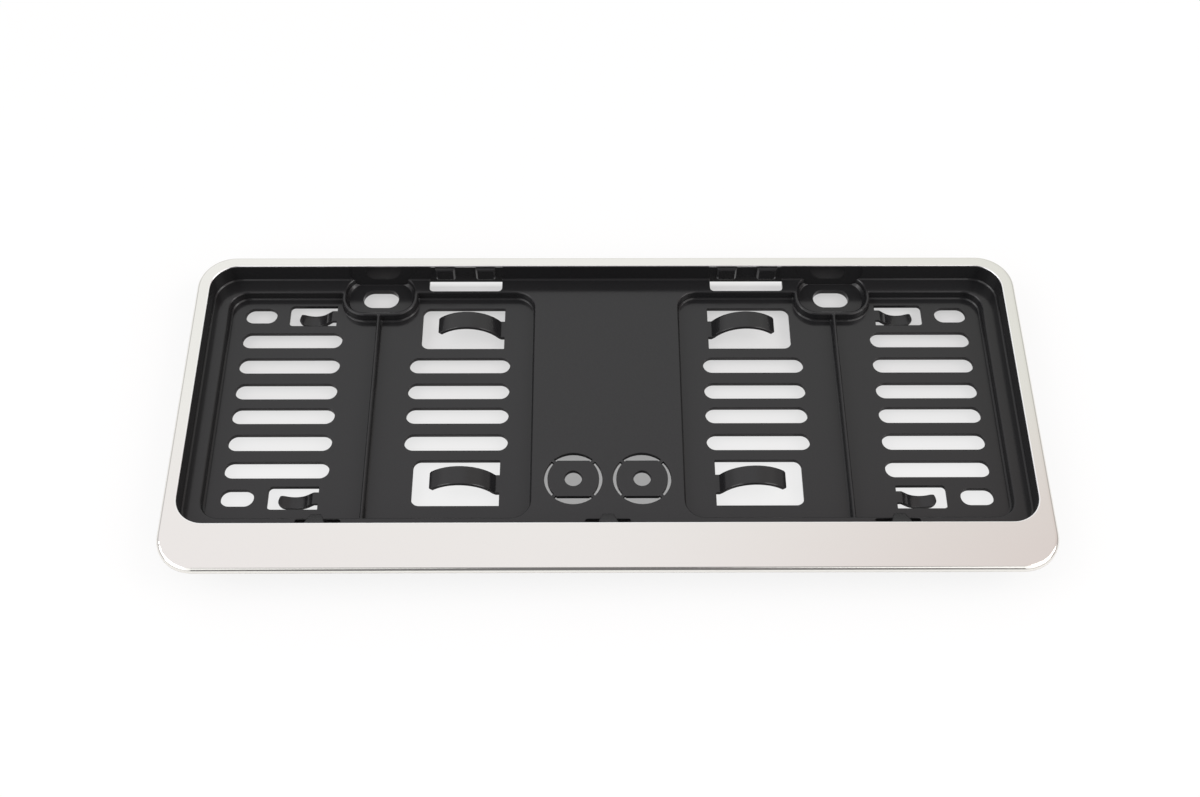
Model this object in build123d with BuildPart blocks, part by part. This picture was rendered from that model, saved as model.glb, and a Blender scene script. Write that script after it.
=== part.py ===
from build123d import *
from math import cos, radians, sin
import os

# Number plate holder, lying on its back: +X to the right, +Y to the plate's top edge, +Z out of the front.
# The origin is under the middle of the bezel, on the plane that the anti-rattle tongues touch. Sizes in mm.

# The plate, and the recess that it drops into
plate_width = 372.0
plate_height = 134.0
plate_play_x = 2.0
plate_play_y = 3.0
plate_gap = 1.8
recess_depth = 10.5

# Bezel, pressed from polished sheet
sheet = 0.7
bar_side = 6.15
bar_top = 5.9
bar_bottom = 22.8
bezel_radius = 17.0
opening_radius = 12.5
bend_radius = 2.0
flange_edge = 0.7
cut_edge = 0.25
crimp_width = 14.0
crimp_pitch_x = 90.0
crimp_pitch_y = 70.0
crimp_gap = 0.3

# Base tray, one moulding
fit_gap = 0.15
wall = 2.0
floor = 2.0
ledge_width = 7.8
pocket_step = 5.0
pocket_radius = 8.8
panel_width = 68.4
rib = 1.5
moulded_edge = 0.5
moulded_foot = 0.6

# Screw cups at the far wall, with oval holes
screw_spacing = 216.2
screw_slot_length = 17.0
screw_slot_width = 10.2
cup_drop = 8.6
cup_length = 32.4
cup_width = 20.8
cup_radius = 9.0
cup_depth = 4.3
cup_rim = 1.8
cup_foot = 1.2

# Rows of long slots in the pocket floors
row_count = 8
row_margin_top = 10.1
row_margin_bottom = 12.5
row_middle_pitch = 13.3
slot_width = 8.4
slot_to_panel = 11.0
slot_to_inner_rib = 15.1
slot_to_outer_rib = 16.1
slot_to_pocket_end = 7.1
end_slot_length = 15.0

# Arched leaf tongues that press the plate forward
leaf_to_panel = 14.15
leaf_to_cup = 2.7
leaf_row_inset = 0.35
leaf_window_width = 23.2
leaf_window_radius = 3.6
leaf_drop = 0.45
leaf_root = 1.6
leaf_width = 9.0
leaf_thickness = 1.6
leaf_end_gap = 8.0
leaf_tip_rise = 3.0
leaf_bow = 6.9
leaf_corner = 0.7
leaf_edge_width = 0.5
leaf_edge_drop = 0.15

# Dipped anti-rattle tongues that the holder stands on
spring_to_cup = 2.5
spring_window_length = 22.5
spring_window_width = 11.5
spring_window_radius = 2.0
spring_width = 5.8
spring_thickness = 1.5
spring_root = 1.7
spring_bend = 1.0
spring_slope = 40.0
spring_bowl = 10.0
spring_drop = 4.5
spring_tip_turn = 42.0

# Lugs on the far wall and hooks on the near wall, over windows in the ledge
lug_offset = 67.3
lug_pitch = 19.2
lug_width = 9.3
lug_reach = 1.5
lug_lead_in = 0.6
lug_height = 7.4
lug_edge = 0.9
lug_window_length = 34.8
hook_pitch = 126.9
hook_root_width = 9.8
hook_tip_width = 4.8
hook_reach = 7.3
hook_nose = 2.5
hook_height = 6.7
hook_edge = 0.4
hook_window_length = 20.0
ledge_strip = 0.8
lug_window_radius = 2.0
hook_window_radius = 1.0

# Knock-out discs in the middle panel
knockout_pitch = 30.6
knockout_rise = 27.3
knockout_radius = 13.0
knockout_slit = 1.5
knockout_flat = 9.05
knockout_bridge = 1.3
knockout_hole_radius = 3.9

# Webs behind the wide bottom bar
web = 1.5
web_count = 7
web_pitch = 56.0
bar_lip = 3.0

# Heights above the plane that the holder stands on
floor_top = spring_drop + spring_thickness
floor_bottom = floor_top - floor
ledge_top = floor_top + pocket_step
ledge_bottom = ledge_top - floor
catch_bottom = ledge_top + plate_gap
face_top = ledge_top + recess_depth
face_bottom = face_top - sheet
flange_height = bend_radius + flange_edge
flange_bottom = face_top - flange_height
rim_bottom = flange_bottom + sheet

# Outlines, each centred on the plate opening or on the bezel
opening_width = plate_width + plate_play_x
opening_height = plate_height + plate_play_y
bezel_width = opening_width + 2 * bar_side
bezel_height = opening_height + bar_top + bar_bottom
opening_y = (bar_bottom - bar_top) / 2
wall_y = opening_height / 2
rim_inset = bend_radius + fit_gap
crimp_reach = min(bar_side, bar_top) - sheet - wall - crimp_gap

# Pockets and what stands in them
panel_edge = panel_width / 2
pocket_end = opening_width / 2 - ledge_width
pocket_length = pocket_end - panel_edge
pocket_height = opening_height - 2 * ledge_width
pocket_x = (pocket_end + panel_edge) / 2
pocket_edge_y = pocket_height / 2
screw_x = screw_spacing / 2
cup_y = wall_y - cup_drop
boss_length = cup_length + 2 * cup_rim
boss_width = cup_width + 2 * cup_rim
boss_radius = cup_radius + cup_rim
rib_length = pocket_edge_y + cup_y - boss_width / 2 + wall
rib_y = rib_length / 2 - pocket_edge_y - wall / 2

# Slot rows, counted from the middle of the pocket outwards
row_pitch = (pocket_height - row_margin_top - row_margin_bottom - row_middle_pitch) / (row_count - 2)
row_reach = [row_middle_pitch / 2 + n * row_pitch for n in range(row_count // 2)]
leaf_row_reach = row_reach[-1] - row_pitch / 2 - leaf_row_inset
rows_y = (row_margin_bottom - row_margin_top) / 2
inner_slot_start = panel_edge + slot_to_panel
inner_slot_end = screw_x - rib / 2 - slot_to_inner_rib
outer_slot_start = screw_x + rib / 2 + slot_to_outer_rib
outer_slot_end = pocket_end - slot_to_pocket_end
leaf_root_x = panel_edge + leaf_to_panel
leaf_window_end = screw_x - boss_length / 2 - leaf_to_cup
leaf_length = leaf_window_end - leaf_root_x - leaf_end_gap
spring_root_x = screw_x + boss_length / 2 + spring_to_cup
window_depth = ledge_width - ledge_strip
above = face_top + floor


def opening_plane(height):
    """Level plane at a height, with its origin under the middle of the plate opening."""
    return Plane((0, opening_y, height))


def rows(reaches, drop=0):
    """Heights of the slot rows on the far and the near half, from their reach off the middle."""
    return [rows_y - drop + side * reach for side in (1, -1) for reach in reaches]


def both_sides(x, *ys):
    """Places at x on the right and their mirror images on the left, at each y."""
    return [Location((x, y)) for y in ys] + [Location((-x, y), 180) for y in ys]


# Bezel: flat face with a turned-down flange, crimped under the tray's rim
with BuildPart() as bezel:
    with BuildSketch(Plane.XY.offset(flange_bottom)):
        RectangleRounded(bezel_width, bezel_height, bezel_radius)
    extrude(amount=flange_height)
    fillet(bezel.faces().sort_by(Axis.Z)[-1].edges(), bend_radius)
    with BuildSketch(Plane.XY.offset(flange_bottom)):
        RectangleRounded(bezel_width - 2 * sheet, bezel_height - 2 * sheet, bezel_radius - sheet)
    extrude(amount=flange_height - sheet, mode=Mode.SUBTRACT)
    chamfer(bezel.edges().filter_by_position(Axis.Z, face_bottom, face_bottom), bend_radius - sheet)
    with BuildSketch(opening_plane(face_bottom)):
        RectangleRounded(opening_width, opening_height, opening_radius)
    extrude(amount=sheet, mode=Mode.SUBTRACT)
    chamfer(bezel.faces().sort_by(Axis.Z)[-1].inner_wires().edges(), cut_edge)
    with BuildSketch(Plane.XY.offset(flange_bottom)):
        with GridLocations(crimp_pitch_x, bezel_height - crimp_reach - 1.5 * sheet, 4, 2):
            Rectangle(crimp_width, crimp_reach + sheet / 2)
        with GridLocations(bezel_width - crimp_reach - 1.5 * sheet, crimp_pitch_y, 2, 2):
            Rectangle(crimp_reach + sheet / 2, crimp_width)
    extrude(amount=sheet)

# Leaf tongue: a flat root, then a bowed strip with eased edges, root at the origin on the floor's top face
with BuildPart() as leaf:
    with BuildSketch(Plane.XZ):
        with BuildLine():
            top = SagittaArc((leaf_root, 0), (leaf_length, leaf_tip_rise), leaf_bow)
            inward = [(top.arc_center - top @ t).normalized() * leaf_thickness for t in (0, 0.5, 1)]
            under = ThreePointArc(top @ 0 + inward[0], top @ 0.5 + inward[1], top @ 1 + inward[2])
            Line(top @ 1, under @ 1)
            Polyline(top @ 0, (-wall, 0), (-wall, -floor), (leaf_root, -floor), under @ 0)
        make_face()
    extrude(amount=leaf_width / 2, both=True)
    leaf_tip = leaf.faces().filter_by(GeomType.PLANE).sort_by(Axis.X)[-1]
    chamfer(leaf_tip.edges().filter_by(lambda e: abs(e.center().Y) > leaf_width / 4), leaf_corner)
    for leaf_side in leaf.faces().filter_by(Axis.Y):
        crest = leaf_side.edges().filter_by(GeomType.CIRCLE).sort_by(SortBy.LENGTH)[-1]
        chamfer(crest, leaf_edge_drop, leaf_edge_width, reference=leaf_side)

# Anti-rattle tongue: flat root, ramp down and shallow bowl, with a round end
with BuildPart() as spring:
    with BuildSketch(Plane.XZ):
        with BuildLine():
            bends_drop = (spring_bend + spring_bowl) * (1 - cos(radians(spring_slope)))
            ramp_length = (spring_drop - bends_drop) / sin(radians(spring_slope))
            flat = Line((-wall, -spring_thickness / 2), (spring_root, -spring_thickness / 2))
            bend = JernArc(flat @ 1, flat % 1, spring_bend, -spring_slope)
            ramp = Line(bend @ 1, bend @ 1 + (bend % 1) * ramp_length)
            JernArc(ramp @ 1, ramp % 1, spring_bowl, spring_slope + spring_tip_turn)
        trace(line_width=spring_thickness)
    extrude(amount=spring_width / 2, both=True)
    spring_end = spring.part.bounding_box().max.X
    with BuildSketch(Plane.XY.offset(-floor_top)):
        with Locations((spring_end - spring_width / 2, 0)):
            Circle(spring_width / 2)
            Rectangle(spring_end + wall, spring_width, align=(Align.MAX, Align.CENTER))
    extrude(amount=above, mode=Mode.INTERSECT)

# Lug: a flat pad on the far wall with bevelled sides and a lead-in on top, face towards -Y
with BuildPart() as lug:
    with BuildSketch(Plane.YZ):
        with BuildLine():
            Polyline((wall / 2, 0), (-lug_reach, 0), (-lug_reach, lug_height - lug_lead_in),
                     (lug_lead_in - lug_reach, lug_height), (wall / 2, lug_height), close=True)
        make_face()
    extrude(amount=lug_width / 2, both=True)
    with BuildSketch():
        with BuildLine():
            Polyline((-lug_width / 2, wall / 2), (-lug_width / 2, lug_edge - lug_reach),
                     (lug_edge - lug_width / 2, -lug_reach), (lug_width / 2 - lug_edge, -lug_reach),
                     (lug_width / 2, lug_edge - lug_reach), (lug_width / 2, wall / 2), close=True)
        make_face()
    extrude(amount=lug_height, mode=Mode.INTERSECT)

# Hook: a longer ramp on the near wall that narrows to its nose, nose towards +Y
with BuildPart() as hook:
    with BuildSketch(Plane.YZ):
        with BuildLine():
            Polyline((-wall / 2, 0), (hook_reach, 0), (hook_reach, hook_nose), (0, hook_height),
                     (-wall / 2, hook_height), close=True)
        make_face()
    extrude(amount=hook_root_width / 2, both=True)
    with BuildSketch(Plane.XY):
        with BuildLine():
            Polyline((-hook_root_width / 2, -wall / 2), (hook_root_width / 2, -wall / 2),
                     (hook_root_width / 2, 0), (hook_tip_width / 2, hook_reach),
                     (-hook_tip_width / 2, hook_reach), (-hook_root_width / 2, 0), close=True)
        make_face()
    extrude(amount=hook_height, mode=Mode.INTERSECT)
    chamfer(hook.faces().filter_by(Axis.Y).sort_by(Axis.Y)[-1].edges().filter_by(Axis.Z), hook_edge)

# Hollow of a screw cup, with the cup's middle and the ledge's height at the origin, cut off at the far wall
with BuildPart() as cup_wall:
    with BuildSketch(Plane.XY.offset(-cup_depth)):
        RectangleRounded(boss_length, boss_width, boss_radius)
        RectangleRounded(cup_length, cup_width, cup_radius, mode=Mode.SUBTRACT)
    extrude(amount=cup_depth)
    chamfer(cup_wall.faces().sort_by(Axis.Z)[-1].inner_wires().edges(), moulded_edge)
with BuildPart() as cup_hollow:
    with BuildSketch(Plane.XY.offset(-cup_depth)):
        RectangleRounded(boss_length, boss_width, boss_radius)
    extrude(amount=cup_depth)
    add(cup_wall.part, mode=Mode.SUBTRACT)
    chamfer(cup_hollow.faces().sort_by(Axis.Z)[0].edges(), cup_foot)
    with BuildSketch():
        RectangleRounded(cup_length + 2 * moulded_edge, cup_width + 2 * moulded_edge,
                         cup_radius + moulded_edge)
    extrude(amount=moulded_foot)
    split(bisect_by=Plane.XZ.offset(-cup_drop), keep=Keep.TOP)

# Windows in the floor and the ledge: square at the tongue's root or the wall, round at the other end
with BuildSketch() as leaf_window:
    Rectangle(leaf_window_end - leaf_root_x, leaf_window_width, align=(Align.MIN, Align.CENTER))
    fillet(leaf_window.vertices().group_by(Axis.X)[-1], leaf_window_radius)
with BuildSketch() as spring_window:
    Rectangle(spring_window_length, spring_window_width, align=(Align.MIN, Align.CENTER))
    fillet(spring_window.vertices().group_by(Axis.X)[-1], spring_window_radius)
with BuildSketch() as lug_window:
    Rectangle(lug_window_length, window_depth, align=(Align.CENTER, Align.MAX))
    fillet(lug_window.vertices().group_by(Axis.Y)[0], lug_window_radius)
with BuildSketch() as hook_window:
    Rectangle(hook_window_length, window_depth, align=(Align.CENTER, Align.MIN))
    fillet(hook_window.vertices().group_by(Axis.Y)[-1], hook_window_radius)

# Windows of a knock-out: a ring cut by two flats and four bridges, and the hole in its middle
with BuildSketch() as knockout_core:
    Circle(knockout_radius - knockout_slit)
    Rectangle(2 * knockout_radius, 2 * knockout_flat, mode=Mode.INTERSECT)
with BuildSketch() as knockout:
    Circle(knockout_radius)
    add(knockout_core.sketch, mode=Mode.SUBTRACT)
    for angle in (45, 135):
        Rectangle(2 * knockout_radius, knockout_bridge, rotation=angle, mode=Mode.SUBTRACT)
    Circle(knockout_hole_radius)

# Base tray: rim, wall, ledge, pockets and cups in one moulding
with BuildPart() as base_tray:
    with BuildSketch(Plane.XY.offset(rim_bottom)):
        RectangleRounded(bezel_width - 2 * rim_inset, bezel_height - 2 * rim_inset, bezel_radius - rim_inset)
    extrude(amount=face_bottom - rim_bottom)
    with BuildSketch(opening_plane(ledge_bottom)):
        RectangleRounded(opening_width + 2 * wall, opening_height + 2 * wall, opening_radius + wall)
    extrude(amount=face_bottom - ledge_bottom)
    with BuildSketch(opening_plane(floor_bottom)):
        with Locations(both_sides(pocket_x, 0)):
            RectangleRounded(pocket_length + 2 * wall, pocket_height + 2 * wall, pocket_radius + wall)
        with Locations(both_sides(screw_x, cup_y)):
            RectangleRounded(boss_length, boss_width, boss_radius)
        RectangleRounded(opening_width + 2 * wall, opening_height + 2 * wall, opening_radius + wall,
                         mode=Mode.INTERSECT)
    extrude(amount=ledge_bottom - floor_bottom)

    # Plate recess, with a sloped foot all round the ledge
    with BuildSketch(opening_plane(ledge_top)):
        RectangleRounded(opening_width, opening_height, opening_radius)
    extrude(amount=recess_depth, mode=Mode.SUBTRACT)
    chamfer(base_tray.edges().filter_by_position(Axis.Z, ledge_top, ledge_top), moulded_foot)

    # Pockets, leaving the cup bosses and the long ribs standing
    with BuildSketch(opening_plane(floor_top)):
        with Locations(both_sides(pocket_x, 0)):
            RectangleRounded(pocket_length, pocket_height, pocket_radius)
        with Locations(both_sides(screw_x, cup_y)):
            RectangleRounded(boss_length, boss_width, boss_radius, mode=Mode.SUBTRACT)
        with Locations(both_sides(screw_x, rib_y)):
            Rectangle(rib, rib_length, mode=Mode.SUBTRACT)
    extrude(amount=pocket_step, mode=Mode.SUBTRACT)
    chamfer(base_tray.edges().filter_by_position(Axis.Z, floor_top, floor_top), moulded_foot)
    pocket_rims = base_tray.edges().filter_by_position(Axis.Z, ledge_top, ledge_top)
    chamfer(pocket_rims.filter_by(lambda e: abs(e.center().Y - opening_y) <= pocket_edge_y + moulded_edge)
            .filter_by(lambda e: abs(e.center().X) <= pocket_end + moulded_edge), moulded_edge)

    # Screw cups and their slots
    with Locations((screw_x, opening_y + cup_y, ledge_top), (-screw_x, opening_y + cup_y, ledge_top)):
        add(cup_hollow.part, mode=Mode.SUBTRACT)
    with BuildSketch(opening_plane(floor_bottom)):
        with Locations(both_sides(screw_x, cup_y)):
            SlotOverall(screw_slot_length, screw_slot_width)
    extrude(amount=ledge_top - floor_bottom, mode=Mode.SUBTRACT)

    # Long slots, end slots and tongue windows through the pocket floors
    with BuildSketch(opening_plane(floor_bottom)):
        with Locations(both_sides((inner_slot_start + inner_slot_end) / 2, *rows(row_reach[:-2]))):
            SlotOverall(inner_slot_end - inner_slot_start, slot_width)
        with Locations(both_sides((outer_slot_start + outer_slot_end) / 2, *rows(row_reach[:-1]))):
            SlotOverall(outer_slot_end - outer_slot_start, slot_width)
        with Locations(both_sides(outer_slot_end - end_slot_length / 2, *rows(row_reach[-1:]))):
            SlotOverall(end_slot_length, slot_width)
    extrude(amount=floor, mode=Mode.SUBTRACT)
    spring_places = both_sides(spring_root_x, *rows(row_reach[-1:]))
    with BuildSketch(opening_plane(floor_bottom)):
        with Locations(both_sides(leaf_root_x, *rows([leaf_row_reach]))):
            add(leaf_window.sketch)
        with Locations(spring_places):
            add(spring_window.sketch)
    extrude(amount=floor, mode=Mode.SUBTRACT)

    # Windows in the ledge under the lugs and hooks, and the knock-outs
    with BuildSketch(opening_plane(floor_bottom)):
        with Locations((lug_offset, wall_y), (-lug_offset, wall_y)):
            add(lug_window.sketch)
        with Locations((0, -wall_y)):
            with GridLocations(hook_pitch, 0, 3, 1):
                add(hook_window.sketch)
        with Locations((0, knockout_rise - wall_y)):
            with GridLocations(knockout_pitch, 0, 2, 1):
                add(knockout.sketch)
    extrude(amount=ledge_top + moulded_foot - floor_bottom, mode=Mode.SUBTRACT)

    # Tongues, lugs and hooks
    for place in both_sides(leaf_root_x, *rows([leaf_row_reach], leaf_drop)):
        with Locations(opening_plane(floor_top).location * place):
            add(leaf.part)
    for place in spring_places:
        with Locations(opening_plane(floor_top).location * place):
            add(spring.part)
    with Locations((0, opening_y + wall_y, catch_bottom)):
        with Locations((lug_offset, 0), (-lug_offset, 0)):
            with GridLocations(lug_pitch, 0, 2, 1):
                add(lug.part)
    with Locations((0, opening_y - wall_y, catch_bottom)):
        with GridLocations(hook_pitch, 0, 3, 1):
            add(hook.part)

    # Webs behind the bottom bar
    rim_y = -bezel_height / 2 + rim_inset
    back_y = opening_y - wall_y - wall
    web_reach = back_y - rim_y - bar_lip
    for index in range(web_count):
        with BuildSketch(Plane.YZ.offset((index - (web_count - 1) / 2) * web_pitch)):
            with BuildLine():
                Polyline((back_y + wall / 2, ledge_bottom), (back_y, ledge_bottom),
                         (back_y - web_reach, rim_bottom), (back_y + wall / 2, rim_bottom), close=True)
            make_face()
        extrude(amount=web / 2, both=True)

bezel.part.label = "bezel"
base_tray.part.label = "base_tray"
os.makedirs("parts", exist_ok=True)
export_step(bezel.part, "parts/bezel.step")
export_step(base_tray.part, "parts/base_tray.step")
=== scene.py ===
from math import cos, radians, sin

import bpy
from mathutils import Matrix, Vector

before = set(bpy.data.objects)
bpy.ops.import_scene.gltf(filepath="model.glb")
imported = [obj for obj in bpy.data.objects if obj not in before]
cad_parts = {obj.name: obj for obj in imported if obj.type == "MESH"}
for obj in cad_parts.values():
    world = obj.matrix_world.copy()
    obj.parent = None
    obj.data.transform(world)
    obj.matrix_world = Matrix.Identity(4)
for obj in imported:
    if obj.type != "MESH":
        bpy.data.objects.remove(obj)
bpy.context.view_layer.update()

# A number plate holder lying on its back on a white table: a polished steel bezel on a black moulded tray.
# Lengths are in metres. Pattern sizes are lengths too, and are turned to noise scales where they are used.
MM = 0.001

# Steel sheet of the bezel
STEEL_FACE = "#EBEAE5"
# Painted highlight colour for the sheared edge round the opening
STEEL_PAINTED_HIGHLIGHT = "#FFFFFF"
BUFF_LINE = 0.5 * MM
BUFF_LENGTH = 40.0 * MM
BUFF_DETAIL = 2.0
BUFF_CLEAR = 0.05
BUFF_HAZY = 0.11
PRESS_WAVE = 60.0 * MM
PRESS_DETAIL = 1.0
PRESS_DEPTH = 0.2 * MM
PRESS_STRENGTH = 0.05
BEND_RADIUS = 0.6 * MM
BEND_SAMPLES = 8
CUT_START = -2.0 * MM
CUT_FULL = -12.0 * MM

# Black moulding of the tray
BLACK_DEEP = "#1C1C1D"
BLACK_PALE = "#252526"
GRAIN = 0.6 * MM
GRAIN_DEPTH = 0.05 * MM
GRAIN_STRENGTH = 0.12
FLOW = 35.0 * MM
FLOW_SMOOTH = 0.14
FLOW_ROUGH = 0.18
ABS_IOR = 1.46
MOULD_EDGE = 0.5 * MM
MOULD_SAMPLES = 6
MOULD_DETAIL = 3.0

# Most of a noise lies between these two values
NOISE_LOW = 0.3
NOISE_HIGH = 0.7

# Table top. The holder covers a part of it that lies off the middle, because the bottom bar is the wide one.
TABLE_HALF = 6.0
TABLE_WHITE = "#F7F6F5"
# TABLE_SHADED is a painted shadow colour: the table's colour under the bottom bar, in front of the near
# hooks
TABLE_SHADED = "#484848"
TABLE_GLOW = 0.84
MIRROR_REACH = 80.0 * MM
UNDER_MIDDLE = (0, 8.0 * MM, 0)
UNDER_HALF = (180.0 * MM, 72.0 * MM, 0)
UNDER_EDGE = 6.0 * MM
# Painted shade: how far towards white the table's colour stays under the holder past the near hooks
UNDER_PAINTED_SHADE_PALENESS = 0.55
# Painted light: the table under the holder glows to the camera by these shares, standing in for the light
# that gets through the openings
PANEL_HALF = 33.0 * MM
PANEL_LIGHT = 0.42
HOOKS_EDGE = -46.0 * MM
HOOKS_BLUR = 1.5 * MM
NEAR_SLOTS = -20.0 * MM
NEAR_LIGHT = 0.77
FAR_SLOTS = 85.0 * MM
FAR_LIGHT = 0.44
# Painted reflection: the table by the lugs glows to mirrors only, so the moulding next to the lugs shows it
LUGS_START = 70.0 * MM
LUGS_FULL = 74.0 * MM
LUGS_LIGHT = 0.66

# Room. A direction in it is a unit vector, and bounds without a unit are parts of one.
ROOM_WHITE = "#FFFFFF"
ROOM_PINK = "#FFFBFE"
ROOM_WARM = "#E8DDDC"
ROOM_GREY = "#EFEFEB"
ROOM_LIGHT = 0.82
BACK_WALL_HEIGHT = radians(55)
BACK_WALL_EDGE = 0.5
BACK_WALL_FULL = 0.8
AWAY_LIGHT = 0.62
STRIP_HALF = 0.30
STRIP_END = 0.50
STRIP_DARK = 0.66
STRIP_FRONT = -0.28
STRIP_BACK = -0.08
WARM_START = -0.05
WARM_FULL = 0.40
REAR_START = 0.42
REAR_FULL = 0.54

# Soft boxes: place, side and power. Two are beside the camera, and two weaker ones beside the holder light
# its edges.
SOFT_BOXES = {
    "left_soft_box": ((-1.1, -0.9, 1.1), 1.7, 8.0),
    "right_soft_box": ((1.1, -0.9, 1.1), 1.7, 9.5),
    "left_edge_box": ((-1.25, -0.15, 1.25), 1.0, 5.5),
    "right_edge_box": ((1.25, -0.15, 1.25), 1.0, 7.0),
}

# Camera, as solved from the photograph's 1200 x 797 frame
EYE = Vector((-7.5, -370.15, 613.9)) * MM
LOOK_DOWN = radians(57.826)
LOOK_ASIDE = radians(0.644)
LEAN = radians(-0.447)
FOCAL_PIXELS = 1553.3
FRAME_PIXELS = 1200
SENSOR_WIDTH = 36.0
CLIP_START = 10.0 * MM

# Settings that several nodes share
TIMES = {"operation": "MULTIPLY"}
MINUS = {"operation": "SUBTRACT"}
GREATER = {"operation": "MAXIMUM"}
UNSIGNED = {"operation": "ABSOLUTE"}
DOT = {"operation": "DOT_PRODUCT"}
SMOOTH = {"interpolation_type": "SMOOTHSTEP"}
COLOURS = {"data_type": "RGBA"}


def linear(hex_colour):
    """Linear colour with alpha from an sRGB hex value."""
    parts = [int(hex_colour[i:i + 2], 16) / 255 for i in (1, 3, 5)]
    return [p / 12.92 if p <= 0.04045 else ((p + 0.055) / 1.055) ** 2.4 for p in parts] + [1.0]


def add_node(tree, kind, settings=None, **inputs):
    """Adds a node with its settings. An input goes by its name, or by its number as i0, and takes a constant
    or another node's output to link."""
    node = tree.nodes.new(kind)
    for name, value in (settings or {}).items():
        setattr(node, name, value)
    for key, value in inputs.items():
        socket = node.inputs[int(key[1:])] if key[1:].isdigit() else node.inputs[key.replace("_", " ")]
        if isinstance(value, bpy.types.NodeSocket):
            tree.links.new(value, socket)
        else:
            socket.default_value = value
    return node


def new_material(name):
    """A material with an empty node tree."""
    material = bpy.data.materials.new(name)
    material.use_nodes = True
    material.node_tree.nodes.clear()
    return material, material.node_tree


def polished_steel():
    """Mirror polished stainless steel: sheet buffed along its length after pressing. Bright and slightly
    warm, with a clear reflection that only the faint buffing lines soften."""
    material, tree = new_material("mirror_polished_stainless")
    place = add_node(tree, "ShaderNodeTexCoord").outputs["Object"]
    along = add_node(tree, "ShaderNodeMapping", Vector=place,
                     Scale=(1 / BUFF_LENGTH, 1 / BUFF_LINE, 1 / BUFF_LINE))
    lines = add_node(tree, "ShaderNodeTexNoise", Vector=along.outputs[0], Scale=1.0, Detail=BUFF_DETAIL)
    haze = add_node(tree, "ShaderNodeMapRange", Value=lines.outputs["Fac"], From_Min=NOISE_LOW,
                    From_Max=NOISE_HIGH, To_Min=BUFF_CLEAR, To_Max=BUFF_HAZY)
    waves = add_node(tree, "ShaderNodeTexNoise", Vector=place, Scale=1 / PRESS_WAVE, Detail=PRESS_DETAIL)
    rolled = add_node(tree, "ShaderNodeBevel", {"samples": BEND_SAMPLES}, Radius=BEND_RADIUS)
    wavy = add_node(tree, "ShaderNodeBump", Strength=PRESS_STRENGTH, Distance=PRESS_DEPTH,
                    Height=waves.outputs["Fac"], Normal=rolled.outputs[0])

    # Painted highlight: the sheared edge round the opening faces the middle, and its colour is raised to
    # pure white there to stand in for the bright line of light that edge catches.
    flat_place = add_node(tree, "ShaderNodeVectorMath", TIMES, i0=place, i1=(1, 1, 0))
    outward = add_node(tree, "ShaderNodeVectorMath", DOT, i0=flat_place.outputs[0], i1=rolled.outputs[0])
    cut_edge_painted_highlight = add_node(tree, "ShaderNodeMapRange", Value=outward.outputs["Value"], From_Min=CUT_FULL,
                        From_Max=CUT_START, To_Min=1.0, To_Max=0.0)
    bright = add_node(tree, "ShaderNodeMix", COLOURS, Factor=cut_edge_painted_highlight.outputs[0], i6=linear(STEEL_FACE),
                      i7=linear(STEEL_PAINTED_HIGHLIGHT))

    shine = add_node(tree, "ShaderNodeBsdfPrincipled", Base_Color=bright.outputs[2], Metallic=1.0,
                     Roughness=haze.outputs[0], Normal=wavy.outputs[0])
    add_node(tree, "ShaderNodeOutputMaterial", Surface=shine.outputs[0])
    return material


def black_moulding():
    """Black ABS, injection moulded against a fine spark-eroded steel: a satin black whose flats go grey
    where they mirror the room. The grain is about 0.15 mm and is drawn coarser, so that it shows."""
    material, tree = new_material("satin_black_abs")
    place = add_node(tree, "ShaderNodeTexCoord").outputs["Object"]
    grain = add_node(tree, "ShaderNodeTexNoise", Vector=place, Scale=1 / GRAIN, Detail=MOULD_DETAIL)
    flow = add_node(tree, "ShaderNodeTexNoise", Vector=place, Scale=1 / FLOW, Detail=MOULD_DETAIL)
    satin = add_node(tree, "ShaderNodeMapRange", Value=flow.outputs["Fac"], From_Min=NOISE_LOW,
                     From_Max=NOISE_HIGH, To_Min=FLOW_SMOOTH, To_Max=FLOW_ROUGH)
    tone = add_node(tree, "ShaderNodeMix", COLOURS, Factor=grain.outputs["Fac"], i6=linear(BLACK_DEEP),
                    i7=linear(BLACK_PALE))
    rounded = add_node(tree, "ShaderNodeBevel", {"samples": MOULD_SAMPLES}, Radius=MOULD_EDGE)
    eroded = add_node(tree, "ShaderNodeBump", Strength=GRAIN_STRENGTH, Distance=GRAIN_DEPTH,
                      Height=grain.outputs["Fac"], Normal=rounded.outputs[0])
    plastic = add_node(tree, "ShaderNodeBsdfPrincipled", Base_Color=tone.outputs[2],
                       Roughness=satin.outputs[0], IOR=ABS_IOR, Normal=eroded.outputs[0])
    add_node(tree, "ShaderNodeOutputMaterial", Surface=plastic.outputs[0])
    return material


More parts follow.
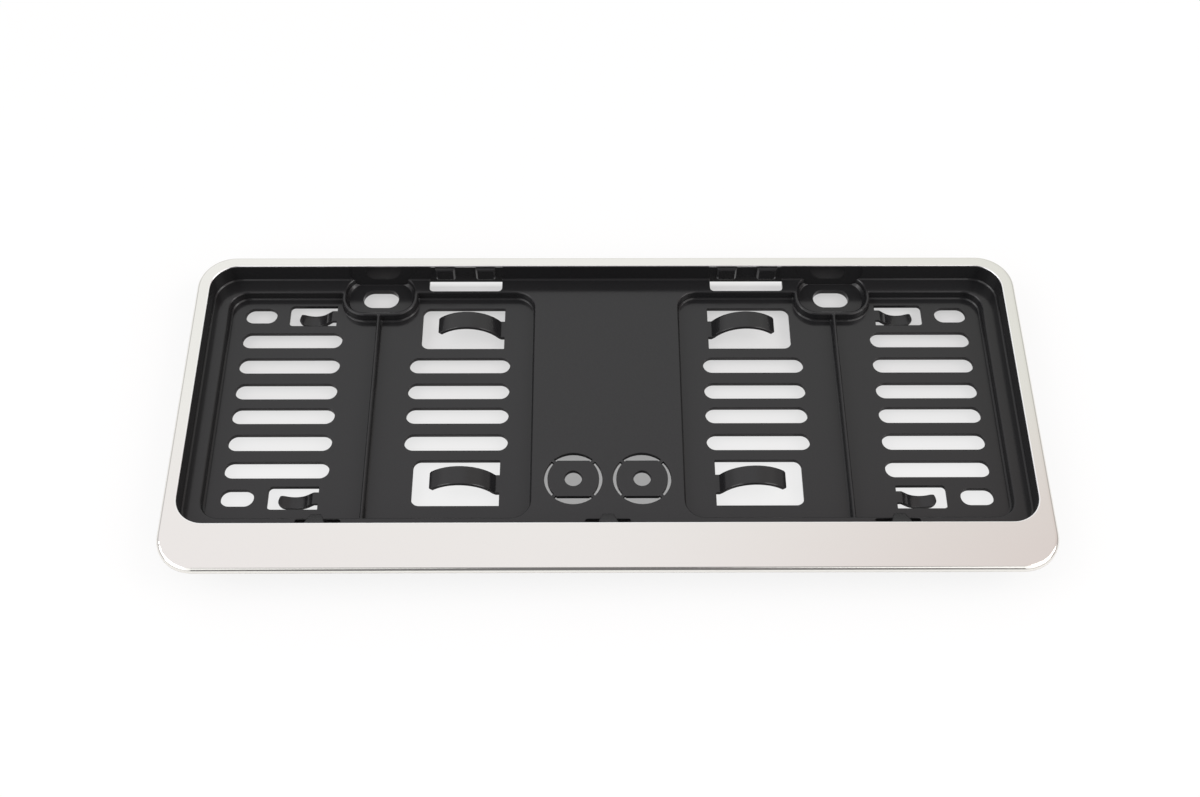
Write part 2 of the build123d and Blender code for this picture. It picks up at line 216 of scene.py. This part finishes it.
def table_laminate():
    """White laminate, nearly as bright to the camera as the room behind it, but still catching the shadow.
    Under the holder its light and shade are painted: it glows where light would get through the openings,
    glows to mirrors by the lugs as a painted reflection, and has painted shade darkening its colour."""
    material, tree = new_material("white_table_laminate")
    place = add_node(tree, "ShaderNodeTexCoord").outputs["Object"]
    path = add_node(tree, "ShaderNodeLightPath").outputs

    # From 0 under the holder to 1 on the open table
    middle = add_node(tree, "ShaderNodeVectorMath", MINUS, i0=place, i1=UNDER_MIDDLE)
    aside = add_node(tree, "ShaderNodeVectorMath", UNSIGNED, i0=middle.outputs[0])
    beyond = add_node(tree, "ShaderNodeVectorMath", MINUS, i0=aside.outputs[0], i1=UNDER_HALF)
    reach = add_node(tree, "ShaderNodeSeparateXYZ", Vector=beyond.outputs[0])
    outside = add_node(tree, "ShaderNodeMath", GREATER, i0=reach.outputs["X"], i1=reach.outputs["Y"])
    open_table = add_node(tree, "ShaderNodeMapRange", SMOOTH, Value=outside.outputs[0], From_Min=-UNDER_EDGE,
                          From_Max=UNDER_EDGE)

    # Painted light: a glow that stands in for the light getting through the openings, less under the middle
    # panel and towards the far wall, and none under the near hooks
    spot = add_node(tree, "ShaderNodeSeparateXYZ", Vector=place)
    off_centre = add_node(tree, "ShaderNodeMath", UNSIGNED, i0=spot.outputs["X"])
    under_pocket = add_node(tree, "ShaderNodeMapRange", SMOOTH, Value=off_centre.outputs[0],
                            From_Min=PANEL_HALF, From_Max=PANEL_HALF + 2 * UNDER_EDGE, To_Min=PANEL_LIGHT,
                            To_Max=1.0)
    further_in = add_node(tree, "ShaderNodeMapRange", Value=spot.outputs["Y"], From_Min=NEAR_SLOTS,
                          From_Max=FAR_SLOTS, To_Min=NEAR_LIGHT, To_Max=FAR_LIGHT)
    past_hooks = add_node(tree, "ShaderNodeMapRange", SMOOTH, Value=spot.outputs["Y"],
                          From_Min=HOOKS_EDGE - HOOKS_BLUR, From_Max=HOOKS_EDGE + HOOKS_BLUR)
    through = add_node(tree, "ShaderNodeMath", TIMES, i0=under_pocket.outputs[0], i1=further_in.outputs[0])
    let_in = add_node(tree, "ShaderNodeMath", TIMES, i0=through.outputs[0], i1=past_hooks.outputs[0])

    # What is seen of the table: its painted glow through the openings, a painted reflection of that glow in
    # the moulding by the lugs, and the open table, which mirrors show only away from the holder
    painted_glimpse = add_node(tree, "ShaderNodeMath", TIMES, i0=path["Is Camera Ray"], i1=let_in.outputs[0])
    by_lugs = add_node(tree, "ShaderNodeMapRange", SMOOTH, Value=spot.outputs["Y"], From_Min=LUGS_START,
                       From_Max=LUGS_FULL, To_Max=LUGS_LIGHT)
    painted_lug_reflection = add_node(tree, "ShaderNodeMath", TIMES, i0=path["Is Glossy Ray"], i1=by_lugs.outputs[0])
    covered = add_node(tree, "ShaderNodeMath", GREATER, i0=painted_glimpse.outputs[0], i1=painted_lug_reflection.outputs[0])
    mirrored = add_node(tree, "ShaderNodeMath", GREATER, i0=path["Is Glossy Ray"],
                        i1=path["Is Transmission Ray"])
    clear = add_node(tree, "ShaderNodeMapRange", SMOOTH, Value=outside.outputs[0], From_Min=0.0,
                     From_Max=MIRROR_REACH)
    away = add_node(tree, "ShaderNodeMath", TIMES, i0=mirrored.outputs[0], i1=clear.outputs[0])
    seen = add_node(tree, "ShaderNodeMath", GREATER, i0=away.outputs[0], i1=path["Is Camera Ray"])
    bright = add_node(tree, "ShaderNodeMath", TIMES, i0=seen.outputs[0], i1=TABLE_GLOW)
    uncovered = add_node(tree, "ShaderNodeMath", TIMES, i0=bright.outputs[0], i1=open_table.outputs[0])
    lit = add_node(tree, "ShaderNodeMath", GREATER, i0=uncovered.outputs[0], i1=covered.outputs[0])

    # Painted shade: under the holder the table's colour is darkened, to the shaded grey in front of the near
    # hooks and partway to white past them
    shade = add_node(tree, "ShaderNodeMath", TIMES, i0=past_hooks.outputs[0], i1=UNDER_PAINTED_SHADE_PALENESS)
    painted_shade_paleness = add_node(tree, "ShaderNodeMath", GREATER, i0=shade.outputs[0], i1=open_table.outputs[0])
    white = add_node(tree, "ShaderNodeMix", COLOURS, Factor=painted_shade_paleness.outputs[0], i6=linear(TABLE_SHADED),
                     i7=linear(TABLE_WHITE))
    dull = add_node(tree, "ShaderNodeBsdfDiffuse", Color=white.outputs[2])
    glow = add_node(tree, "ShaderNodeEmission", Color=linear(ROOM_WHITE), Strength=1.0)
    laminate = add_node(tree, "ShaderNodeMixShader", i0=lit.outputs[0], i1=dull.outputs[0],
                        i2=glow.outputs[0])
    add_node(tree, "ShaderNodeOutputMaterial", Surface=laminate.outputs[0])
    return material


def studio_room():
    """A room that is white to the camera and, round its back wall, in the metal. It gives a little less
    light than it shows. From left to right it goes from pink to warm, and towards the back from white to
    grey. Straight in front is a dark strip, which the bezel's front bend mirrors."""
    world = bpy.data.worlds.new("studio")
    world.use_nodes = True
    tree = world.node_tree
    tree.nodes.clear()
    path = add_node(tree, "ShaderNodeLightPath").outputs
    toward = add_node(tree, "ShaderNodeTexCoord").outputs["Generated"]
    split = add_node(tree, "ShaderNodeSeparateXYZ", Vector=toward)

    # Level: what mirrors show, or the light that is given, less the dark strip
    mirrored = add_node(tree, "ShaderNodeMath", GREATER, i0=path["Is Glossy Ray"],
                        i1=path["Is Transmission Ray"])
    back_wall = add_node(tree, "ShaderNodeVectorMath", DOT, i0=toward,
                         i1=(0, cos(BACK_WALL_HEIGHT), sin(BACK_WALL_HEIGHT)))
    shown = add_node(tree, "ShaderNodeMapRange", SMOOTH, Value=back_wall.outputs["Value"],
                     From_Min=BACK_WALL_EDGE, From_Max=BACK_WALL_FULL, To_Min=AWAY_LIGHT, To_Max=1.0)
    pale = add_node(tree, "ShaderNodeMapRange", Value=mirrored.outputs[0], To_Min=ROOM_LIGHT,
                    To_Max=shown.outputs[0])
    sideways = add_node(tree, "ShaderNodeMath", UNSIGNED, i0=split.outputs["X"])
    narrow = add_node(tree, "ShaderNodeMapRange", SMOOTH, Value=sideways.outputs[0], From_Min=STRIP_HALF,
                      From_Max=STRIP_END, To_Min=STRIP_DARK, To_Max=0.0)
    front = add_node(tree, "ShaderNodeMapRange", SMOOTH, Value=split.outputs["Y"], From_Min=STRIP_FRONT,
                     From_Max=STRIP_BACK, To_Min=1.0, To_Max=0.0)
    strip = add_node(tree, "ShaderNodeMath", TIMES, i0=narrow.outputs[0], i1=front.outputs[0])
    shut = add_node(tree, "ShaderNodeMath", MINUS, i0=1.0, i1=strip.outputs[0])
    strength = add_node(tree, "ShaderNodeMath", TIMES, i0=pale.outputs[0], i1=shut.outputs[0])

    # Colour: the left and the right side, each with its own change towards the back
    warm = add_node(tree, "ShaderNodeMapRange", SMOOTH, Value=split.outputs["X"], From_Min=WARM_START,
                    From_Max=WARM_FULL)
    rear = add_node(tree, "ShaderNodeMapRange", SMOOTH, Value=split.outputs["Y"], From_Min=REAR_START,
                    From_Max=REAR_FULL)
    left_side = add_node(tree, "ShaderNodeMix", COLOURS, Factor=rear.outputs[0], i6=linear(ROOM_PINK),
                         i7=linear(ROOM_WHITE))
    right_side = add_node(tree, "ShaderNodeMix", COLOURS, Factor=rear.outputs[0], i6=linear(ROOM_WARM),
                          i7=linear(ROOM_GREY))
    tint = add_node(tree, "ShaderNodeMix", COLOURS, Factor=warm.outputs[0], i6=left_side.outputs[2],
                    i7=right_side.outputs[2])

    dome = add_node(tree, "ShaderNodeBackground", Color=tint.outputs[2], Strength=strength.outputs[0])
    backdrop = add_node(tree, "ShaderNodeBackground", Color=linear(ROOM_WHITE), Strength=1.0)
    room = add_node(tree, "ShaderNodeMixShader", i0=path["Is Camera Ray"], i1=dome.outputs[0],
                    i2=backdrop.outputs[0])
    add_node(tree, "ShaderNodeOutputWorld", Surface=room.outputs[0])
    return world


def photo_camera():
    """The camera of the photograph: its axes from the solved look direction, then leaned."""
    forward = Vector((sin(LOOK_ASIDE) * cos(LOOK_DOWN), cos(LOOK_ASIDE) * cos(LOOK_DOWN), -sin(LOOK_DOWN)))
    level = Vector((cos(LOOK_ASIDE), -sin(LOOK_ASIDE), 0))
    down = forward.cross(level)
    right = cos(LEAN) * level + sin(LEAN) * down
    below = cos(LEAN) * down - sin(LEAN) * level
    turn = Matrix((right, -below, -forward)).transposed().to_4x4()
    bpy.ops.object.camera_add()
    camera = bpy.context.object
    camera.name = "camera"
    camera.matrix_world = Matrix.Translation(EYE) @ turn
    camera.data.sensor_fit = "HORIZONTAL"
    camera.data.sensor_width = SENSOR_WIDTH
    camera.data.lens = SENSOR_WIDTH * FOCAL_PIXELS / FRAME_PIXELS
    camera.data.clip_start = CLIP_START
    return camera


for name, finish in (("bezel", polished_steel()), ("base_tray", black_moulding())):
    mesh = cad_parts[name].data
    mesh.materials.clear()
    mesh.materials.append(finish)

bpy.ops.object.select_all(action="DESELECT")
bpy.ops.mesh.primitive_plane_add(size=2 * TABLE_HALF, location=(0, 0, 0))
table = bpy.context.object
table.name = "table"
table.data.materials.append(table_laminate())

for name, (place, side, power) in SOFT_BOXES.items():
    aim = Vector(place).to_track_quat("Z", "Y").to_euler()
    bpy.ops.object.light_add(type="AREA", location=place, rotation=aim)
    soft_box = bpy.context.object
    soft_box.name = name
    soft_box.data.size = side
    soft_box.data.energy = power

bpy.context.scene.world = studio_room()
bpy.context.scene.camera = photo_camera()
bpy.context.scene.view_settings.view_transform = "Standard"
